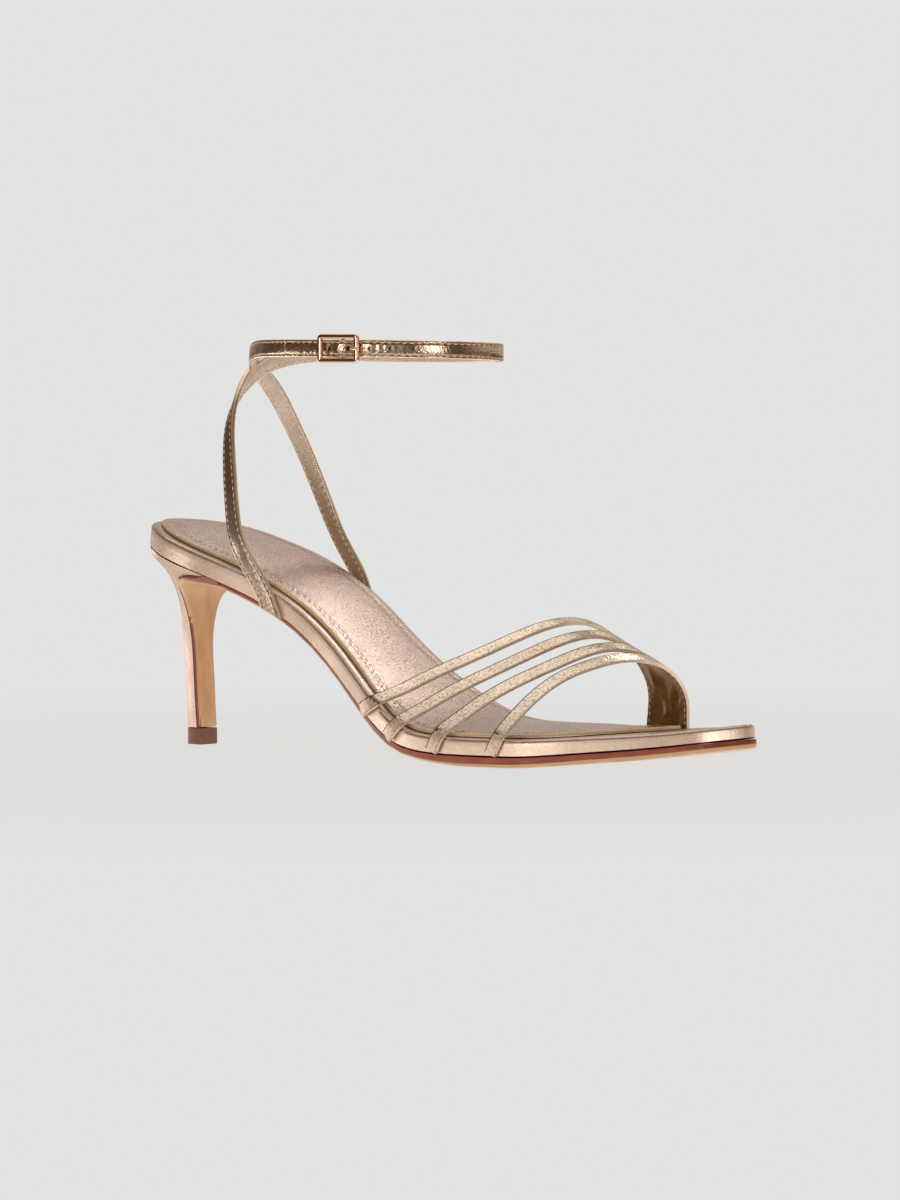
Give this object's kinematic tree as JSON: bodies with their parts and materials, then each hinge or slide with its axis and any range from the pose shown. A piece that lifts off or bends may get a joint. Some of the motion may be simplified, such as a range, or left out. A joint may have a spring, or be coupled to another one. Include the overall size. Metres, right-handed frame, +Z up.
{
  "type": "heeled sandal",
  "caption": "Right-foot heeled sandal with slim vamp straps joined on the inner side, crossed ankle straps with a buckle, an almond toe and a slim covered heel.",
  "frame": {"origin": "middle of the shoe's footprint on the floor", "axes": "+X towards the toe, +Y towards the inner side of the foot, +Z up"},
  "size_m": [0.2244, 0.0767, 0.1292],
  "materials": {
    "sole_leather": "stained red-brown edge, waxed tan underside",
    "gold_leather": "metallic rose gold, finely grained, semi-gloss",
    "sock_leather": "metallic rose beige, satin",
    "top_piece_rubber": "matte brown",
    "buckle_metal": "polished rose gold"
  },
  "bodies": {
    "root": {"outsole": "sole_leather", "insole_board": "gold_leather", "sock_pad": "sock_leather", "heel": "gold_leather", "top_piece": "top_piece_rubber", "vamp_straps": "gold_leather", "ankle_straps": "gold_leather", "buckle_frame": "buckle_metal", "buckle_prong": "buckle_metal"}
  },
  "joints": []
}
